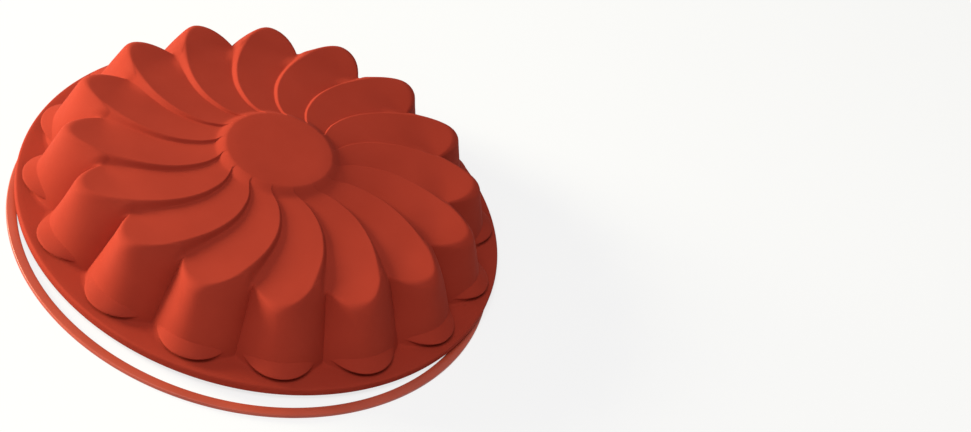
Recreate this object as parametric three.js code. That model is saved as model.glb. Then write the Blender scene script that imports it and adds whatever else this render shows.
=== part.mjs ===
// Soft cake mould shaped like a swirled flower, and the flat ring that stiffens its rim.
// The mould lies upside down, base upwards, with part of its flange resting on the loose ring.
// Millimetres, +Z up, floor at z = 0.
import * as THREE from 'three';

// Fluted wall: one lobe for each petal, leaning back as it rises, with a sharp valley between neighbours
const petalCount = 16;
const petalPhaseDegrees = 11.7;
const lobeFootRadius = 120;
const lobeDepth = 9.5;
const lobeDraftDegrees = 19.8;
const valleyDraftDegrees = 31.5;
const crownPlaceAtFoot = -0.05;
const crownPlaceAtTop = -0.2;
const flankHollow = 1.2;
const flankHollowPower = 5;
const wallThickness = 2.2;

// Flange round the mouth
const flangeWidth = 7;
const flangeThickness = 5;
const flangeEdgeBevel = 1.2;
const mouthBevel = 1.5;

// Toes at the feet of the lobes, over the groove that the ring clips into
const toeReach = 5;
const toeHeight = 4.6;
const toeEndHeight = 0.8;
const toeNoseShare = 0.22;
const toeSpread = 0.78;
const toeUndercutRise = 0.4;

// Base: overlapping petals round a raised disc
const baseHeight = 44;
const discRadius = 30;
const discRise = 2.4;
const discEdgeWidth = 6.5;
const crestFall = 1.2;
const stepAtDisc = 0.9;
const stepInside = 3.8;
const stepAtWall = 4.6;
const stepRunInside = 0.4;
const stepRunAtWall = 0.75;
const stepFlareStart = 0.7;
const crestSoftness = 3;
const troughSoftness = 2.4;
const baseEdgeRadius = 4.5;
const baseEdgeEndShare = 0.25;
const baseEdgeRise = 0.42;
const baseEdgeFall = 0.06;

// Swirl of the petals: a hook at the disc, then a bow that straightens towards the wall
const swirlTurnReach = 18;
const swirlHookDegrees = 9;
const swirlDegreesPerMillimetre = 0.38;
const swirlBow = 14;
const crestShare = 0.86;
const crestRadius = 90;
const fanBeforeCrest = 0.5;
const fanBehindCrest = 0.6;
const flankStartShare = 0.6;
const flankBlendShare = 0.2;
const fanReach = 10;
const valleyInset = 7;

// Support ring and its place under the flange
const ringWidth = 5.2;
const ringThickness = 2.2;
const ringEdgeBevel = 0.6;
const ringSideClearance = 0.6;
const ringGrooveClearance = 0.2;
const ringShiftX = 1;
const ringShiftY = -14;
const restGap = 0.3;

// Mesh steps, with the columns across a petal closer together round its crest
const columnShares = [0, 0.13, 0.27, 0.41, 0.56, 0.71, 0.86, 0.93];
const baseRings = 5;
const edgeSteps = 3;
const wallBands = 4;
const ringSegments = 96;

// Values that follow from the sizes above
const columnsPerPetal = columnShares.length;
const columnCount = petalCount * columnsPerPetal;
const petalPitch = THREE.MathUtils.degToRad(360 / petalCount);
const petalPhase = THREE.MathUtils.degToRad(petalPhaseDegrees);
const lobeDraft = Math.tan(THREE.MathUtils.degToRad(lobeDraftDegrees));
const valleyDraft = Math.tan(THREE.MathUtils.degToRad(valleyDraftDegrees));
const rimRadius = lobeFootRadius + flangeWidth;
const grooveHeight = ringThickness + ringGrooveClearance;
const swirlTurnRadius = discRadius + swirlTurnReach;
const discEdgeOuter = discRadius + discEdgeWidth / 2;
const discEdgeInner = discRadius - discEdgeWidth / 2;

function smoothStep(value) {
  return THREE.MathUtils.smoothstep(value, 0, 1);
}

// Angle by which a petal's edge has swung back at a radius, in radians
function sweep(radius) {
  const beyondTurn = radius - swirlTurnRadius;
  if (beyondTurn >= 0) {
    const bowed = Math.hypot(beyondTurn, swirlBow) - swirlBow;
    return -THREE.MathUtils.degToRad(swirlDegreesPerMillimetre * bowed);
  }
  const hooked = Math.min(1, -beyondTurn / swirlTurnReach);
  return -THREE.MathUtils.degToRad(swirlHookDegrees * hooked ** 3);
}

// How far the wall has sunk from the crown of a lobe, 0, to the valleys, 1; across runs from -1 to 1
function lobeDrop(across, height) {
  const rise = (height - flangeThickness) / (baseHeight - discRise - flangeThickness);
  const crown = THREE.MathUtils.lerp(crownPlaceAtFoot, crownPlaceAtTop, rise);
  if (across < crown) {
    return ((crown - across) / (1 + crown)) ** 2;
  }
  const along = (across - crown) / (1 - crown);
  return THREE.MathUtils.lerp(along ** 2, smoothStep(along), flankHollow * Math.max(rise, 0) ** flankHollowPower);
}

// Outer wall: radius at a height
function outerWallRadius(across, height) {
  const rise = height - flangeThickness;
  const crownRadius = lobeFootRadius - lobeDraft * rise;
  const valleyRadius = lobeFootRadius - lobeDepth - valleyDraft * rise;
  return crownRadius - (crownRadius - valleyRadius) * lobeDrop(across, height);
}

// Inner wall: the outer one moved in by the wall's thickness, square to the surface
function innerWallRadius(across, height) {
  const probe = 0.01;
  const radius = outerWallRadius(across, height);
  const turned = outerWallRadius(across + probe, height) - outerWallRadius(across - probe, height);
  const slopeAround = turned / (probe * petalPitch * radius);
  const slopeUp = outerWallRadius(across, height + probe) - outerWallRadius(across, height - probe);
  return radius - wallThickness * Math.hypot(1, slopeAround, slopeUp / (2 * probe));
}

// The lesser of two heights, with the change from one to the other rounded
function smoothLeast(first, second, softness) {
  const near = Math.max(softness - Math.abs(first - second), 0);
  return Math.min(first, second) - near ** 2 / (4 * softness);
}

// The greater of two heights, rounded in the same way
function smoothGreatest(first, second, softness) {
  return -smoothLeast(-first, -second, softness);
}

// Height of the crests at a radius, the drop of the step behind each, and the run of its face
function petalLevels(radius) {
  const outward = THREE.MathUtils.clamp((radius - discRadius) / (crestRadius - discRadius), 0, 1.2);
  const flare = smoothStep((outward - stepFlareStart) / (1 - stepFlareStart));
  const inside = THREE.MathUtils.lerp(stepAtDisc, stepInside, Math.min(outward, 1));
  const step = inside + (stepAtWall - stepInside) * flare;
  const run = THREE.MathUtils.lerp(stepRunInside, stepRunAtWall, flare) * step;
  return { crest: baseHeight - discRise - crestFall * outward, step, run };
}

// Share of a petal between the crest behind which it starts and a point, at a radius
function pastCrest(share, radius) {
  return share - crestShare - (sweep(radius) - sweep(crestRadius)) / petalPitch;
}

// Outer base: each petal climbs to its crest, then drops a step to the next petal
function outerBaseHeight(angle, radius) {
  const turns = pastCrest((angle - petalPhase) / petalPitch, radius);
  const past = turns - Math.floor(turns);
  const { crest, step, run } = petalLevels(radius);
  const width = petalPitch * radius;
  const climb = (past - run / width) / (1 - run / width);
  const climbing = crest - step * (1 - climb);
  const behind = past < 0.5;
  const face = crest - ((behind ? past : past - 1) * width * step) / run;
  const rounded = smoothLeast(behind ? crest : climbing, face, Math.min(crestSoftness, step));
  const trough = Math.min(troughSoftness, 0.7 * step);
  const petal = behind ? smoothGreatest(rounded, climbing, trough) : rounded;
  const discShare = smoothStep((discEdgeOuter - radius) / discEdgeWidth);
  return THREE.MathUtils.lerp(petal, baseHeight, discShare);
}

// Inner base: under every point of the outer one by at least the wall's thickness
function innerBaseHeight(angle, radius) {
  let height = baseHeight;
  for (let probe = -3; probe <= 3; probe++) {
    const aside = (wallThickness * probe) / 3;
    const below = Math.sqrt(wallThickness ** 2 - aside ** 2);
    height = Math.min(height, outerBaseHeight(angle + aside / radius, radius) - below);
  }
  return height;
}

function polarPoint(radius, angle, height) {
  return new THREE.Vector3(radius * Math.cos(angle), radius * Math.sin(angle), height);
}

// The top edge of a lobe is round at the tip of its petal and crisp at the corners in the valleys
function edgeRadiusAt(share) {
  const grown = Math.min(1, share / baseEdgeRise, (1 - share) / baseEdgeFall);
  return baseEdgeRadius * THREE.MathUtils.lerp(baseEdgeEndShare, 1, smoothStep(grown));
}

// Top edge of a skin's wall: along the petal's tip to its crest, then down the step to the valley
function sharpEdge(share, wallRadius, thickness) {
  const across = 2 * share - 1;
  const lift = 1 - smoothStep((share - crestShare) / (1 - crestShare));
  let height = baseHeight - discRise - stepAtWall / 2;
  let distance = wallRadius(across, height);
  for (let pass = 0; pass < 14; pass++) {
    const { crest, step, run } = petalLevels(distance);
    const faceShare = run / (petalPitch * distance);
    const climb = (1 + pastCrest(share, distance) - faceShare) / (1 - faceShare);
    height = crest - step * (1 - THREE.MathUtils.clamp(climb, 0, 1) * lift) - thickness;
    distance = wallRadius(across, height);
  }
  return { height, distance };
}

// One column of a skin, from the wall over the rounded edge and along a petal to the disc
function baseColumn(share, columnAngle, wallRadius, baseSurface, edgeRadius, thickness) {
  const across = 2 * share - 1;
  const edge = sharpEdge(share, wallRadius, thickness);
  const edgeHeight = edge.height;
  const edgeDistance = edge.distance;
  // Columns on the flank run side by side along the crest, so they fan out over both sides of it
  const valley = sharpEdge(0, wallRadius, thickness);
  const place = share === 0 ? 1 : share;
  const fanned = (place - crestShare) * (place < crestShare ? fanBeforeCrest : fanBehindCrest);
  const excess = pastCrest(place, edgeDistance) - fanned + thickness / (petalPitch * valley.distance);
  const flank = smoothStep((place - flankStartShare) / flankBlendShare);
  const fan = excess * (excess > 0 ? 1 : flank) * petalPitch;
  const angleAt = (radius) => {
    const settled = smoothStep((edgeDistance - radius) / fanReach);
    return columnAngle + sweep(radius) - sweep(edgeDistance) - fan * settled;
  };
  const onBase = (radius) => polarPoint(radius, angleAt(radius), baseSurface(angleAt(radius), radius));
  const wallEnd = polarPoint(wallRadius(across, edgeHeight - edgeRadius), columnAngle, edgeHeight - edgeRadius);
  const corner = polarPoint(edgeDistance, columnAngle, edgeHeight);
  const baseStart = edgeDistance - edgeRadius;
  const roundEdge = new THREE.QuadraticBezierCurve3(wallEnd, corner, onBase(baseStart));
  const points = roundEdge.getPoints(edgeSteps);
  const ringStart = valley.distance - valleyInset;
  points.push(onBase((baseStart + ringStart) / 2));
  for (let ring = 0; ring <= baseRings; ring++) {
    points.push(onBase(THREE.MathUtils.lerp(ringStart, discEdgeOuter, ring / baseRings)));
  }
  points.push(onBase(discRadius));
  points.push(onBase(discEdgeInner));
  return points;
}

// Closed section of the mould at one column: rim, flange, groove, toe, wall, base, then back inside
function mouldColumn(column) {
  const share = columnShares[column % columnsPerPetal];
  const across = 2 * share - 1;
  const angle = petalPhase + (Math.floor(column / columnsPerPetal) + share) * petalPitch;
  const toeShare = Math.max(0, 1 - Math.abs((across - crownPlaceAtFoot) / toeSpread) ** 3);
  const toe = toeReach * toeShare;
  const edgeRadius = edgeRadiusAt(share);
  const grooveTop = flangeThickness + grooveHeight;
  const toeLow = grooveTop + toeUndercutRise;
  const toeTop = toeLow + THREE.MathUtils.lerp(toeEndHeight, toeHeight, toeShare);
  const toeNose = THREE.MathUtils.lerp(toeLow, toeTop, toeNoseShare);
  const wallRow = (wallRadius, low, high, row) => {
    const height = THREE.MathUtils.lerp(low, high, row / wallBands);
    return polarPoint(wallRadius(across, height), angle, height);
  };
  const wallBetween = (wallRadius, low, high) =>
    Array.from({ length: wallBands - 1 }, (_, row) => wallRow(wallRadius, low, high, row + 1));
  const innerEdgeRadius = Math.max(edgeRadius - wallThickness, wallThickness / 2);
  const outerBase = baseColumn(share, angle, outerWallRadius, outerBaseHeight, edgeRadius, 0);
  const innerBase = baseColumn(share, angle, innerWallRadius, innerBaseHeight, innerEdgeRadius, wallThickness);
  const outer = [
    polarPoint(rimRadius - flangeEdgeBevel, angle, 0),
    polarPoint(rimRadius, angle, flangeEdgeBevel),
    polarPoint(rimRadius, angle, flangeThickness - flangeEdgeBevel),
    polarPoint(rimRadius - flangeEdgeBevel, angle, flangeThickness),
    polarPoint(outerWallRadius(across, flangeThickness), angle, flangeThickness),
    polarPoint(outerWallRadius(across, grooveTop), angle, grooveTop),
    polarPoint(outerWallRadius(across, toeLow) + toe, angle, toeLow),
    polarPoint(outerWallRadius(across, toeNose) + toe, angle, toeNose),
    polarPoint(outerWallRadius(across, toeTop), angle, toeTop),
    ...wallBetween(outerWallRadius, toeTop, outerBase[0].z),
    ...outerBase,
  ];
  const inner = [
    polarPoint(innerWallRadius(across, 0) + mouthBevel, angle, 0),
    polarPoint(innerWallRadius(across, mouthBevel), angle, mouthBevel),
    ...wallBetween(innerWallRadius, mouthBevel, innerBase[0].z),
    ...innerBase,
  ];
  return { outer, inner: inner.reverse() };
}

// Skins one ring of columns into a closed surface, with a point at the middle of the disc on each side
function mouldGeometry() {
  const columns = Array.from({ length: columnCount }, (_, column) => mouldColumn(column));
  const outerRows = columns[0].outer.length;
  const innerRows = columns[0].inner.length;
  const rows = outerRows + innerRows;
  const positions = [];
  for (const { outer, inner } of columns) {
    for (const point of [...outer, ...inner]) {
      positions.push(point.x, point.y, point.z);
    }
  }
  const outerMiddle = columnCount * rows;
  const innerMiddle = outerMiddle + 1;
  positions.push(0, 0, baseHeight);
  positions.push(0, 0, baseHeight - wallThickness);
  const triangles = [];
  for (let column = 0; column < columnCount; column++) {
    const here = column * rows;
    const next = ((column + 1) % columnCount) * rows;
    for (let row = 0; row < rows; row++) {
      const above = (row + 1) % rows;
      if (row === outerRows - 1) {
        triangles.push(here + row, next + row, outerMiddle);
        triangles.push(innerMiddle, next + above, here + above);
        continue;
      }
      triangles.push(here + row, next + row, next + above);
      triangles.push(here + row, next + above, here + above);
    }
  }
  const geometry = new THREE.BufferGeometry();
  geometry.setAttribute('position', new THREE.Float32BufferAttribute(positions, 3));
  geometry.setIndex(triangles);
  geometry.computeVertexNormals();
  return geometry;
}

function siliconeMould() {
  const material = new THREE.MeshStandardMaterial({ color: 0xa8382a, roughness: 0.62, metalness: 0 });
  const mesh = new THREE.Mesh(mouldGeometry(), material);
  mesh.name = 'silicone_mould';
  mesh.position.z = ringThickness + restGap;
  return mesh;
}

// Flat ring with bevelled edges, as wide inside as the lobes' feet and their clearance
function supportRing() {
  const innerRadius = lobeFootRadius + ringSideClearance;
  const outerRadius = innerRadius + ringWidth;
  const section = [
    [innerRadius + ringEdgeBevel, 0],
    [outerRadius - ringEdgeBevel, 0],
    [outerRadius, ringEdgeBevel],
    [outerRadius, ringThickness - ringEdgeBevel],
    [outerRadius - ringEdgeBevel, ringThickness],
    [innerRadius + ringEdgeBevel, ringThickness],
    [innerRadius, ringThickness - ringEdgeBevel],
    [innerRadius, ringEdgeBevel],
    [innerRadius + ringEdgeBevel, 0],
  ];
  const profile = section.map(([radius, height]) => new THREE.Vector2(radius, height));
  const geometry = new THREE.LatheGeometry(profile, ringSegments);
  geometry.rotateX(Math.PI / 2);
  const material = new THREE.MeshStandardMaterial({ color: 0x9c3626, roughness: 0.5, metalness: 0 });
  const mesh = new THREE.Mesh(geometry, material);
  mesh.name = 'support_ring';
  mesh.position.set(ringShiftX, ringShiftY, 0);
  return mesh;
}

// The pair stands with the middle of its footprint on the origin
const assembly = new THREE.Group();
assembly.add(siliconeMould());
assembly.add(supportRing());
const footprint = new THREE.Box3().setFromObject(assembly, true).getCenter(new THREE.Vector3());
assembly.position.set(-footprint.x, -footprint.y, 0);
assembly.updateMatrixWorld(true);

export default assembly;
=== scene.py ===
# Swirled flower cake mould in soft silicone, upside down on the loose flat ring that stiffens its rim.
import math

import bpy
import numpy as np
from mathutils import Matrix, Vector


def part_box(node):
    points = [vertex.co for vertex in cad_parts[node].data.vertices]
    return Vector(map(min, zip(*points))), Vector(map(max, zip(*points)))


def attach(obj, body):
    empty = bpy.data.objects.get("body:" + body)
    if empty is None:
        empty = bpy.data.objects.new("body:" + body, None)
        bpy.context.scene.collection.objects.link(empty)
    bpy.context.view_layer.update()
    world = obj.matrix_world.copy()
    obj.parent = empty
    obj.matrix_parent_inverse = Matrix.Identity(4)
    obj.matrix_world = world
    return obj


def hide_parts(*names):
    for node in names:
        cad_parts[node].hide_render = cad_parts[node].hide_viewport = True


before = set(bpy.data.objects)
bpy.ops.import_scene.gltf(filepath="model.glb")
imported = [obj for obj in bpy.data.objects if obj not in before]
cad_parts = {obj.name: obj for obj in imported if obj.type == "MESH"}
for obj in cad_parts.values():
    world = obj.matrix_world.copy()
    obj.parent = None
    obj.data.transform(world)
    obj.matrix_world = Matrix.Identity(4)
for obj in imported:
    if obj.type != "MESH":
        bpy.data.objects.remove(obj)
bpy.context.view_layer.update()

MILLIMETRE = 0.001

# Fluted wall, in millimetres; places across a lobe run from -1 to 1
PETALS = 16
PETAL_PHASE = math.radians(11.7)
LOBE_FOOT_RADIUS = 120
LOBE_DEPTH = 9.5
LOBE_DRAFT = math.tan(math.radians(19.8))
VALLEY_DRAFT = math.tan(math.radians(31.5))
CROWN_AT_FOOT = -0.05
CROWN_AT_TOP = -0.2
FLANK_HOLLOW = 1.2
FLANK_HOLLOW_POWER = 5
WALL = 2.2
WALL_LEAN = 1.12

# Flange, mouth and toes; a toe's section is in shares of its reach and height
FLANGE_WIDTH = 7
FLANGE_THICKNESS = 5
FLANGE_EDGE = 1.2
MOUTH_EDGE = 1.8
GROOVE_HEIGHT = 2.4
TOE_REACH = 5
TOE_HEIGHT = 4.6
TOE_END_HEIGHT = 0.8
TOE_SPREAD = 0.78
TOE_END_POWER = 2.5
TOE_UNDERCUT = 0.4
TOE_NOSE = ((0.97, 0), (1, 0.08), (0.985, 0.16), (0.93, 0.24), (0.83, 0.33))
TOE_FACET = ((0.6, 0.53), (0.3, 0.765), (0, 1))

# Base
BASE_HEIGHT = 44
DISC_RADIUS = 30
DISC_RISE = 2.4
DISC_EDGE = 6.5
CREST_FALL = 1.2
OUTWARD_LIMIT = 1.2
STEP_AT_DISC = 0.9
STEP_INSIDE = 3.8
STEP_AT_WALL = 4.6
RUN_INSIDE = 0.4
RUN_AT_WALL = 0.75
FLARE_START = 0.7
CREST_SOFTNESS = 3.4
TROUGH_SOFTNESS = 2.6
TROUGH_SHARE_OF_STEP = 0.7
BASE_EDGE_RADIUS = 4.5
BASE_EDGE_END_SHARE = 0.25
BASE_EDGE_RISE = 0.42
BASE_EDGE_FALL = 0.06

# Swirl
TURN_REACH = 18
HOOK = math.radians(9)
HOOK_POWER = 3
SWIRL = math.radians(0.38)
BOW = 14
CREST_SHARE = 0.86
CREST_RADIUS = 90
FAN_BEFORE_CREST = 0.5
FAN_BEHIND_CREST = 0.6
FLANK_START = 0.6
FLANK_BLEND = 0.2
FAN_REACH = 10
VALLEY_INSET = 7

# Support ring
RING_WIDTH = 5.2
RING_THICKNESS = 2.2
RING_EDGE = 0.6
RING_SIDE_CLEARANCE = 0.6
RING_SHIFT = (1, -14)
REST_GAP = 0.3

# Mesh steps
COLUMN_BANDS = ((0, 0.6, 20), (0.6, 0.8, 8), (0.8, 1, 16))
CORNER_STEPS = 4
FLANGE_SHARES = (0.25, 0.5, 0.75, 0.97)
GROOVE_LEVELS = (0.3, 1.2, GROOVE_HEIGHT - 0.2)
WALL_STEPS = 12
CAVITY_WALL_STEPS = 16
EDGE_STEPS = 8
EDGE_ROUNDS = 14
PETAL_END_STEPS = 8
BASE_STEPS = 26
DISC_STEPS = 10
DISC_RADII = (21, 14, 7)
WALL_PROBES = 12
BASE_PROBES = 6
RING_SEGMENTS = 320

# Materials; noise values between these two spread over the whole range
NOISE_LOW = 0.3
NOISE_HIGH = 0.7
WHITE = (1, 1, 1, 1)
FLOOR_HALF = 4
FLOOR_LIFT = 0.75
ROOM_STRENGTH = 0.24
LIGHT_TARGET = (0, 0, 0.02)

# Camera, in metres from the mould's seat
ELEVATION = math.radians(40.06)
ROLL = math.radians(-21.32)
SENSOR_WIDTH = 36
LENS = 71.35
CAMERA_ASIDE = 0.11673
CAMERA_BELOW = 0.00258
CAMERA_BACK = 1.006

PITCH = 2 * math.pi / PETALS
SHARES = np.concatenate([np.linspace(low, high, count, endpoint=False) for low, high, count in COLUMN_BANDS])
COLUMNS = len(SHARES)
RIM_RADIUS = LOBE_FOOT_RADIUS + FLANGE_WIDTH
TURN_RADIUS = DISC_RADIUS + TURN_REACH
DISC_EDGE_OUTER = DISC_RADIUS + DISC_EDGE / 2


def smooth_step(value):
    """Rises from 0 to 1, level at both ends."""
    value = np.clip(value, 0, 1)
    return value * value * (3 - 2 * value)


def sweep(radius):
    """Angle by which a petal's edge has swung back at a radius."""
    beyond = radius - TURN_RADIUS
    bowed = np.hypot(np.maximum(beyond, 0), BOW) - BOW
    hooked = np.clip(-beyond / TURN_REACH, 0, 1)
    return -SWIRL * bowed - HOOK * hooked ** HOOK_POWER


def lobe_drop(across, height):
    """How far the wall has sunk from the crown of a lobe, 0, to the valleys, 1."""
    rise = (height - FLANGE_THICKNESS) / (BASE_HEIGHT - DISC_RISE - FLANGE_THICKNESS)
    crown = CROWN_AT_FOOT + (CROWN_AT_TOP - CROWN_AT_FOOT) * rise
    before = ((crown - across) / (1 + crown)) ** 2
    along = (across - crown) / (1 - crown)
    hollow = FLANK_HOLLOW * np.maximum(rise, 0) ** FLANK_HOLLOW_POWER
    after = along ** 2 + (smooth_step(along) - along ** 2) * hollow
    return np.where(across < crown, before, after)


def outer_wall(across, height):
    """Radius of the wall's outside."""
    rise = height - FLANGE_THICKNESS
    crown = LOBE_FOOT_RADIUS - LOBE_DRAFT * rise
    valley = LOBE_FOOT_RADIUS - LOBE_DEPTH - VALLEY_DRAFT * rise
    return crown - (crown - valley) * lobe_drop(across, height)


def inner_wall(across, height):
    """Radius of the wall's inside, at least the wall's thickness from every point of the outside."""
    width = PITCH * outer_wall(across, height) / 2
    radii = []
    for probe in range(-WALL_PROBES, WALL_PROBES + 1):
        aside = WALL * probe / WALL_PROBES
        inward = WALL_LEAN * math.sqrt(WALL ** 2 - aside ** 2)
        beside = np.mod(across + aside / width + 1, 2) - 1
        radii.append(outer_wall(beside, height) - inward)
    return np.min(radii, axis=0)


def smooth_least(first, second, softness):
    """The lesser of two heights, with the change from one to the other rounded."""
    near = np.maximum(softness - np.abs(first - second), 0)
    return np.minimum(first, second) - near ** 2 / (4 * softness)


def smooth_greatest(first, second, softness):
    return -smooth_least(-first, -second, softness)


def petal_levels(radius):
    """Height of the crests at a radius, the drop of the step behind each, and the run of its face."""
    outward = np.clip((radius - DISC_RADIUS) / (CREST_RADIUS - DISC_RADIUS), 0, OUTWARD_LIMIT)
    flare = smooth_step((outward - FLARE_START) / (1 - FLARE_START))
    inside = STEP_AT_DISC + (STEP_INSIDE - STEP_AT_DISC) * np.minimum(outward, 1)
    step = inside + (STEP_AT_WALL - STEP_INSIDE) * flare
    run = step * (RUN_INSIDE + (RUN_AT_WALL - RUN_INSIDE) * flare)
    return BASE_HEIGHT - DISC_RISE - CREST_FALL * outward, step, run


def past_crest(share, radius):
    """Share of a petal between its crest and a point, at a radius."""
    return share - CREST_SHARE - (sweep(radius) - sweep(CREST_RADIUS)) / PITCH


def outer_base(angle, radius):
    """Height of the base's outside: each petal climbs to its crest, then drops a step to the next petal."""
    turns = past_crest((angle - PETAL_PHASE) / PITCH, radius)
    past = turns - np.floor(turns)
    crest, step, run = petal_levels(radius)
    width = PITCH * np.maximum(radius, 1)
    climbing = crest - step * (1 - (past - run / width) / (1 - run / width))
    behind = past < 0.5
    face = crest - np.where(behind, past, past - 1) * width * step / run
    rounded = smooth_least(np.where(behind, crest, climbing), face, np.minimum(CREST_SOFTNESS, step))
    filled = smooth_greatest(rounded, climbing, np.minimum(TROUGH_SOFTNESS, TROUGH_SHARE_OF_STEP * step))
    petal = np.where(behind, filled, rounded)
    disc_share = smooth_step((DISC_EDGE_OUTER - radius) / DISC_EDGE)
    return petal + (BASE_HEIGHT - petal) * disc_share


def inner_base(angle, radius):
    """Height of the base's inside, under every point of the outside by at least the wall's thickness."""
    heights = []
    for probe in range(-BASE_PROBES, BASE_PROBES + 1):
        aside = WALL * probe / BASE_PROBES
        below = math.sqrt(WALL ** 2 - aside ** 2)
        heights.append(outer_base(angle + aside / np.maximum(radius, 1), radius) - below)
    return np.min(heights, axis=0)


def polar(radius, angle, height):
    """A row of points from radii, angles and heights."""
    radius, angle, height = np.broadcast_arrays(radius, angle, height)
    return np.stack([radius * np.cos(angle), radius * np.sin(angle), height], axis=1)


def sharp_edge(share, wall, thickness):
    """Height and radius of a wall's top edge: along the tip to the crest, then down to the valley."""
    lift = 1 - smooth_step((share - CREST_SHARE) / (1 - CREST_SHARE))
    height = np.full_like(share, BASE_HEIGHT - DISC_RISE - STEP_AT_WALL / 2)
    for _ in range(EDGE_ROUNDS):
        distance = wall(2 * share - 1, height)
        crest, step, run = petal_levels(distance)
        face_share = run / (PITCH * distance)
        climb = (1 + past_crest(share, distance) - face_share) / (1 - face_share)
        height = crest - step * (1 - np.clip(climb, 0, 1) * lift) - thickness
    return height, wall(2 * share - 1, height)


def base_rows(share, angle, wall, base, edge_radius, thickness):
    """Rows from the wall over the rounded edge and along the petals to the disc."""
    across = 2 * share - 1
    edge_height, edge_distance = sharp_edge(share, wall, thickness)
    _, valley_distance = sharp_edge(np.zeros_like(share), wall, thickness)
    place = np.where(share == 0, 1, share)
    spread = (place - CREST_SHARE) * np.where(place < CREST_SHARE, FAN_BEFORE_CREST, FAN_BEHIND_CREST)
    excess = past_crest(place, edge_distance) - spread + thickness / (PITCH * valley_distance)
    flank = smooth_step((place - FLANK_START) / FLANK_BLEND)
    fan = excess * np.where(excess > 0, 1, flank) * PITCH

    def on_base(radius):
        fanned = fan * smooth_step((edge_distance - radius) / FAN_REACH)
        turned = angle + sweep(radius) - sweep(edge_distance) - fanned
        return polar(radius, turned, base(turned, radius))

    wall_end = polar(wall(across, edge_height - edge_radius), angle, edge_height - edge_radius)
    corner = polar(edge_distance, angle, edge_height)
    base_start = edge_distance - edge_radius
    edge_end = on_base(base_start)
    rows = []
    for step in range(EDGE_STEPS + 1):
        t = step / EDGE_STEPS
        rows.append((1 - t) ** 2 * wall_end + 2 * t * (1 - t) * corner + t ** 2 * edge_end)
    ring_start = valley_distance - VALLEY_INSET
    for step in range(1, PETAL_END_STEPS + 1):
        rows.append(on_base(base_start + (ring_start - base_start) * step / PETAL_END_STEPS))
    for step in range(1, BASE_STEPS + 1):
        rows.append(on_base(ring_start + (DISC_EDGE_OUTER - ring_start) * step / BASE_STEPS))
    for step in range(1, DISC_STEPS + 1):
        rows.append(on_base(np.full_like(angle, DISC_EDGE_OUTER - DISC_EDGE * step / DISC_STEPS)))
    for radius in DISC_RADII:
        rows.append(on_base(np.full_like(angle, float(radius))))
    return rows


def quarter_turns():
    return [math.pi / 2 * step / CORNER_STEPS for step in range(CORNER_STEPS + 1)]


def flange_rows(across, angle):
    """Rounded rim and the flat top of the flange, in to the feet of the lobes."""
    rows = []
    for turn in quarter_turns():
        radius = RIM_RADIUS - FLANGE_EDGE * (1 - math.sin(turn))
        rows.append(polar(radius, angle, FLANGE_EDGE * (1 - math.cos(turn))))
    for turn in quarter_turns():
        radius = RIM_RADIUS - FLANGE_EDGE * (1 - math.cos(turn))
        rows.append(polar(radius, angle, FLANGE_THICKNESS - FLANGE_EDGE * (1 - math.sin(turn))))
    edge = RIM_RADIUS - FLANGE_EDGE
    foot = outer_wall(across, FLANGE_THICKNESS)
    for share in FLANGE_SHARES:
        rows.append(polar(edge + (foot - edge) * share, angle, FLANGE_THICKNESS))
    return rows


def toe_rows(across, angle):
    """Groove over the flange, then the toe: undercut, crisp lip, nose and flat facet up to its crease."""
    rows = []
    for level in GROOVE_LEVELS:
        height = FLANGE_THICKNESS + level
        rows.append(polar(outer_wall(across, height), angle, height))
    toe_share = np.maximum(0, 1 - np.abs((across - CROWN_AT_FOOT) / TOE_SPREAD) ** TOE_END_POWER)
    reach = TOE_REACH * toe_share
    low = FLANGE_THICKNESS + GROOVE_HEIGHT + TOE_UNDERCUT
    tall = TOE_END_HEIGHT + (TOE_HEIGHT - TOE_END_HEIGHT) * toe_share
    for out, drop in ((0.05, TOE_UNDERCUT), (0.5, TOE_UNDERCUT / 2)):
        rows.append(polar(outer_wall(across, low - drop) + reach * out, angle, low - drop))
    lip = len(rows)
    for out, rise in TOE_NOSE + TOE_FACET:
        height = low + tall * rise
        rows.append(polar(outer_wall(across, height) + reach * out, angle, height))
    return rows, lip, len(rows) - 1


def wall_rows(across, angle, wall, foot, top, steps):
    """Rows up a wall between two others."""
    rows = []
    for step in range(1, steps):
        height = foot[:, 2] + (top[:, 2] - foot[:, 2]) * step / steps
        rows.append(polar(wall(across, height), angle, height))
    return rows


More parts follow.
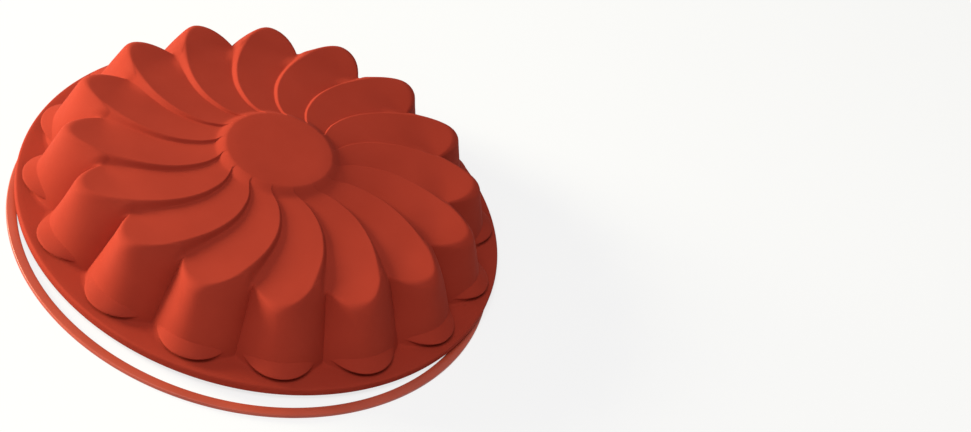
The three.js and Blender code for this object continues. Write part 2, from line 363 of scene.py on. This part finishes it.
def mould_rows():
    """Rows of the outside from the rim to the disc, rows of the inside from the mouth to the disc, and
    the numbers of the outside's crisp rows and of the rows where its valleys start and end."""
    column = np.arange(PETALS * COLUMNS)
    share = np.tile(SHARES, PETALS)
    across = 2 * share - 1
    angle = PETAL_PHASE + (column // COLUMNS + share) * PITCH
    grown = smooth_step(np.minimum(share / BASE_EDGE_RISE, (1 - share) / BASE_EDGE_FALL))
    edge_radius = BASE_EDGE_RADIUS * (BASE_EDGE_END_SHARE + (1 - BASE_EDGE_END_SHARE) * grown)
    outer = flange_rows(across, angle)
    toes, lip, crease = toe_rows(across, angle)
    crisp_rows = [len(outer) + lip, len(outer) + crease]
    valley_rows = [len(outer)]
    outer.extend(toes)
    top = base_rows(share, angle, outer_wall, outer_base, edge_radius, 0)
    outer.extend(wall_rows(across, angle, outer_wall, outer[-1], top[0], WALL_STEPS))
    valley_rows.append(len(outer) + EDGE_STEPS)
    outer.extend(top)
    inner = []
    for turn in quarter_turns():
        height = MOUTH_EDGE * (1 - math.cos(turn))
        inner.append(polar(inner_wall(across, height) + MOUTH_EDGE * (1 - math.sin(turn)), angle, height))
    inner_radius = np.maximum(edge_radius - WALL, WALL / 2)
    cavity = base_rows(share, angle, inner_wall, inner_base, inner_radius, WALL)
    inner.extend(wall_rows(across, angle, inner_wall, inner[-1], cavity[0], CAVITY_WALL_STEPS))
    inner.extend(cavity)
    return outer, inner, crisp_rows, valley_rows


def mark_crisp(mesh, width, crisp_rows, valley_rows):
    """Crisp edges along some rows, and up the valleys between two rows."""
    ends = np.empty(2 * len(mesh.edges), dtype=np.int32)
    mesh.edges.foreach_get("vertices", ends)
    row, column = np.divmod(ends.reshape(-1, 2), width)
    along = (row[:, 0] == row[:, 1]) & np.isin(row[:, 0], crisp_rows)
    upward = (column[:, 0] == column[:, 1]) & (column[:, 0] % COLUMNS == 0)
    within = (row.min(axis=1) >= valley_rows[0]) & (row.max(axis=1) <= valley_rows[1])
    crisp = mesh.attributes.new("sharp_edge", "BOOLEAN", "EDGE")
    crisp.data.foreach_set("value", along | (upward & within))


def mesh_object(name, points, faces, materials, inside_from=None):
    """A smooth piece; faces from a number on take the second material."""
    mesh = bpy.data.meshes.new(name)
    mesh.from_pydata([tuple(point) for point in points], [], faces)
    for material in materials:
        mesh.materials.append(material)
    mesh.polygons.foreach_set("use_smooth", [True] * len(mesh.polygons))
    if inside_from is not None:
        slots = [0 if index < inside_from else 1 for index in range(len(mesh.polygons))]
        mesh.polygons.foreach_set("material_index", slots)
    mesh.update()
    piece = bpy.data.objects.new(name, mesh)
    bpy.context.scene.collection.objects.link(piece)
    return piece


def make_mould(outside, inside, centre):
    """Closed skin of the mould: its outside, its inside and the mouth between them."""
    outer, inner, crisp_rows, valley_rows = mould_rows()
    width = PETALS * COLUMNS
    rows = np.array(outer + inner)
    points = rows.reshape(-1, 3)
    points = np.concatenate([points, [[0, 0, BASE_HEIGHT], [0, 0, BASE_HEIGHT - WALL]]])
    top_middle = len(points) - 2
    cavity_middle = len(points) - 1
    outer_faces = []
    inner_faces = []

    def strip(low, high, faces, flip):
        for column in range(width):
            beside = (column + 1) % width
            lower = (low * width + column, low * width + beside)
            upper = (high * width + beside, high * width + column)
            corners = lower + upper
            faces.append(corners[::-1] if flip else corners)

    for row in range(len(outer) - 1):
        strip(row, row + 1, outer_faces, False)
    first_inner = len(outer)
    for row in range(first_inner, first_inner + len(inner) - 1):
        strip(row, row + 1, inner_faces, True)
    strip(first_inner, 0, outer_faces, False)
    last_outer = (len(outer) - 1) * width
    last_inner = (first_inner + len(inner) - 1) * width
    for column in range(width):
        beside = (column + 1) % width
        outer_faces.append((last_outer + column, last_outer + beside, top_middle))
        inner_faces.append((last_inner + beside, last_inner + column, cavity_middle))
    points = points * MILLIMETRE + np.array(centre)
    skin = mesh_object("mould_skin", points, outer_faces + inner_faces, [outside, inside], len(outer_faces))
    mark_crisp(skin.data, width, crisp_rows, valley_rows)
    return skin


def make_ring(material, centre):
    """Flat ring with rounded edges, swept round its circle."""
    inner_radius = LOBE_FOOT_RADIUS + RING_SIDE_CLEARANCE
    corners = (
        (inner_radius + RING_WIDTH - RING_EDGE, RING_EDGE, -90),
        (inner_radius + RING_WIDTH - RING_EDGE, RING_THICKNESS - RING_EDGE, 0),
        (inner_radius + RING_EDGE, RING_THICKNESS - RING_EDGE, 90),
        (inner_radius + RING_EDGE, RING_EDGE, 180),
    )
    section = []
    for radius, height, first in corners:
        for step in range(CORNER_STEPS + 1):
            turn = math.radians(first + 90 * step / CORNER_STEPS)
            section.append((radius + RING_EDGE * math.cos(turn), height + RING_EDGE * math.sin(turn)))
    points = []
    for segment in range(RING_SEGMENTS):
        angle = 2 * math.pi * segment / RING_SEGMENTS
        for radius, height in section:
            points.append((radius * math.cos(angle), radius * math.sin(angle), height))
    count = len(section)
    faces = []
    for segment in range(RING_SEGMENTS):
        here = segment * count
        there = (segment + 1) % RING_SEGMENTS * count
        for corner in range(count):
            after = (corner + 1) % count
            faces.append((here + corner, there + corner, there + after, here + after))
    points = np.array(points) * MILLIMETRE + np.array(centre)
    return mesh_object("ring_band", points, faces, [material])


def new_material(name):
    material = bpy.data.materials.new(name)
    material.use_nodes = True
    nodes = material.node_tree.nodes
    return material, nodes, material.node_tree.links, nodes["Principled BSDF"]


def noise(nodes, links, place, scale, detail):
    texture = nodes.new("ShaderNodeTexNoise")
    texture.inputs["Scale"].default_value = scale
    texture.inputs["Detail"].default_value = detail
    links.new(place, texture.inputs["Vector"])
    return texture.outputs["Fac"]


def ramp(nodes, links, value, dark, light):
    """Colour between two others by a noise value."""
    colours = nodes.new("ShaderNodeValToRGB")
    first, last = colours.color_ramp.elements
    first.position = NOISE_LOW
    first.color = dark
    last.position = NOISE_HIGH
    last.color = light
    links.new(value, colours.inputs["Fac"])
    return colours.outputs["Color"]


def remap(nodes, links, value, low, high):
    """Number between two others by a noise value."""
    mapped = nodes.new("ShaderNodeMapRange")
    mapped.inputs["From Min"].default_value = NOISE_LOW
    mapped.inputs["From Max"].default_value = NOISE_HIGH
    mapped.inputs["To Min"].default_value = low
    mapped.inputs["To Max"].default_value = high
    links.new(value, mapped.inputs["Value"])
    return mapped.outputs["Result"]


def bump(nodes, links, height, strength, distance, before=None):
    node = nodes.new("ShaderNodeBump")
    node.inputs["Strength"].default_value = strength
    node.inputs["Distance"].default_value = distance
    links.new(height, node.inputs["Height"])
    if before is not None:
        links.new(before, node.inputs["Normal"])
    return node.outputs["Normal"]


def silicone(name, dark, light, roughness, grain, gloss):
    """Moulded silicone: cloudy colour, uneven sheen and the faint grain of the casting tool."""
    material, nodes, links, shader = new_material(name)
    place = nodes.new("ShaderNodeTexCoord").outputs["Object"]
    clouds = noise(nodes, links, place, scale=26, detail=4)
    links.new(ramp(nodes, links, clouds, dark, light), shader.inputs["Base Color"])
    patches = noise(nodes, links, place, scale=70, detail=3)
    links.new(remap(nodes, links, patches, *roughness), shader.inputs["Roughness"])
    swells = noise(nodes, links, place, scale=90, detail=2)
    waves = bump(nodes, links, swells, strength=0.05, distance=0.001)
    grains = noise(nodes, links, place, scale=1400, detail=2)
    fine = bump(nodes, links, grains, strength=grain, distance=0.0002, before=waves)
    links.new(fine, shader.inputs["Normal"])
    shader.inputs["Specular IOR Level"].default_value = gloss
    return material


def ring_plastic():
    """Satin moulded plastic with a fine grain."""
    material, nodes, links, shader = new_material("ring_satin")
    place = nodes.new("ShaderNodeTexCoord").outputs["Object"]
    clouds = noise(nodes, links, place, scale=40, detail=4)
    colour = ramp(nodes, links, clouds, dark=(0.41, 0.05, 0.02, 1), light=(0.48, 0.064, 0.027, 1))
    links.new(colour, shader.inputs["Base Color"])
    patches = noise(nodes, links, place, scale=120, detail=3)
    links.new(remap(nodes, links, patches, low=0.38, high=0.5), shader.inputs["Roughness"])
    grains = noise(nodes, links, place, scale=900, detail=2)
    links.new(bump(nodes, links, grains, strength=0.12, distance=0.0002), shader.inputs["Normal"])
    return material


def seen_share(nodes, links):
    """One where the camera, a reflection or clear matter looks at a surface, otherwise zero."""
    path = nodes.new("ShaderNodeLightPath")
    share = path.outputs["Is Camera Ray"]
    for ray in ("Is Glossy Ray", "Is Transmission Ray"):
        most = nodes.new("ShaderNodeMath")
        most.operation = "MAXIMUM"
        links.new(share, most.inputs[0])
        links.new(path.outputs[ray], most.inputs[1])
        share = most.outputs["Value"]
    return share


def floor_material():
    """Matt white paint, seen with most of its shade lifted."""
    material, nodes, links, shader = new_material("floor_paint")
    place = nodes.new("ShaderNodeTexCoord").outputs["Object"]
    clouds = noise(nodes, links, place, scale=3, detail=2)
    colour = ramp(nodes, links, clouds, dark=(0.92, 0.92, 0.915, 1), light=(0.94, 0.94, 0.935, 1))
    links.new(colour, shader.inputs["Base Color"])
    shader.inputs["Roughness"].default_value = 0.9
    shader.inputs["Specular IOR Level"].default_value = 0.1
    share = nodes.new("ShaderNodeMapRange")
    share.inputs["To Max"].default_value = FLOOR_LIFT
    links.new(seen_share(nodes, links), share.inputs["Value"])
    white = nodes.new("ShaderNodeEmission")
    white.inputs["Color"].default_value = WHITE
    both = nodes.new("ShaderNodeMixShader")
    links.new(share.outputs["Result"], both.inputs["Fac"])
    links.new(shader.outputs["BSDF"], both.inputs[1])
    links.new(white.outputs["Emission"], both.inputs[2])
    links.new(both.outputs["Shader"], nodes["Material Output"].inputs["Surface"])
    return material


def area_light(name, place, size, energy, colour):
    """Square lamp that faces the middle of the object."""
    data = bpy.data.lights.new(name, "AREA")
    data.shape = "RECTANGLE"
    data.size = size
    data.size_y = size
    data.energy = energy
    data.color = colour
    light = bpy.data.objects.new(name, data)
    light.location = place
    light.rotation_euler = (Vector(LIGHT_TARGET) - Vector(place)).to_track_quat("-Z", "Y").to_euler()
    bpy.context.scene.collection.objects.link(light)


# The mould and the ring, where the solids are
ring_low, ring_high = [Vector(corner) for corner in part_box("support_ring")]
ring_centre = (ring_low + ring_high) / 2
mould_centre = ring_centre - Vector((*RING_SHIFT, 0)) * MILLIMETRE
mould_seat = Vector((mould_centre.x, mould_centre.y, (RING_THICKNESS + REST_GAP) * MILLIMETRE))

outside = silicone(
    "silicone_outside",
    dark=(0.33, 0.032, 0.0165, 1),
    light=(0.37, 0.0375, 0.0195, 1),
    roughness=(0.82, 0.92),
    grain=0.14,
    gloss=0.1,
)
inside = silicone(
    "silicone_inside",
    dark=(0.325, 0.028, 0.0125, 1),
    light=(0.365, 0.032, 0.015, 1),
    roughness=(0.2, 0.3),
    grain=0.04,
    gloss=0.2,
)
mould = make_mould(outside, inside, mould_seat)
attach(mould, "mould")
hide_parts("silicone_mould")

ring = make_ring(ring_plastic(), (ring_centre.x, ring_centre.y, 0))
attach(ring, "ring")
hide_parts("support_ring")

# Floor
floor_mesh = bpy.data.meshes.new("floor")
floor_corners = [(x * FLOOR_HALF, y * FLOOR_HALF, 0) for x, y in ((-1, -1), (1, -1), (1, 1), (-1, 1))]
floor_mesh.from_pydata(floor_corners, [], [(0, 1, 2, 3)])
floor_mesh.materials.append(floor_material())
floor = bpy.data.objects.new("floor", floor_mesh)
bpy.context.scene.collection.objects.link(floor)

# Light: a low soft key from the left, a softbox high in front and a pale room
area_light("key", place=(-1.94, 0, 0.49), size=0.7, energy=73, colour=(1, 0.97, 0.7))
area_light("softbox", place=(-0.25, -0.88, 1.93), size=0.9, energy=21, colour=(1, 1, 1))
world = bpy.data.worlds.new("studio")
world.use_nodes = True
room = world.node_tree
room_light = room.nodes["Background"]
room_light.inputs["Color"].default_value = WHITE
room_light.inputs["Strength"].default_value = ROOM_STRENGTH
backdrop = room.nodes.new("ShaderNodeBackground")
backdrop.inputs["Color"].default_value = WHITE
backdrop.inputs["Strength"].default_value = 1
either = room.nodes.new("ShaderNodeMixShader")
room.links.new(seen_share(room.nodes, room.links), either.inputs["Fac"])
room.links.new(room_light.outputs["Background"], either.inputs[1])
room.links.new(backdrop.outputs["Background"], either.inputs[2])
room.links.new(either.outputs["Shader"], room.nodes["World Output"].inputs["Surface"])
bpy.context.scene.world = world

# Camera: above and in front, rolled so that the right end sits lower
right = Vector((1, 0, 0))
back = Vector((0, -math.cos(ELEVATION), math.sin(ELEVATION)))
up = back.cross(right)
axis_x = right * math.cos(ROLL) - up * math.sin(ROLL)
axis_y = right * math.sin(ROLL) + up * math.cos(ROLL)
camera_data = bpy.data.cameras.new("camera")
camera_data.sensor_width = SENSOR_WIDTH
camera_data.lens = LENS
camera = bpy.data.objects.new("camera", camera_data)
turned = Matrix((axis_x, axis_y, back)).transposed().to_4x4()
turned.translation = mould_seat + axis_x * CAMERA_ASIDE - axis_y * CAMERA_BELOW + back * CAMERA_BACK
camera.matrix_world = turned
bpy.context.scene.collection.objects.link(camera)
bpy.context.scene.camera = camera
bpy.context.scene.view_settings.view_transform = "Standard"
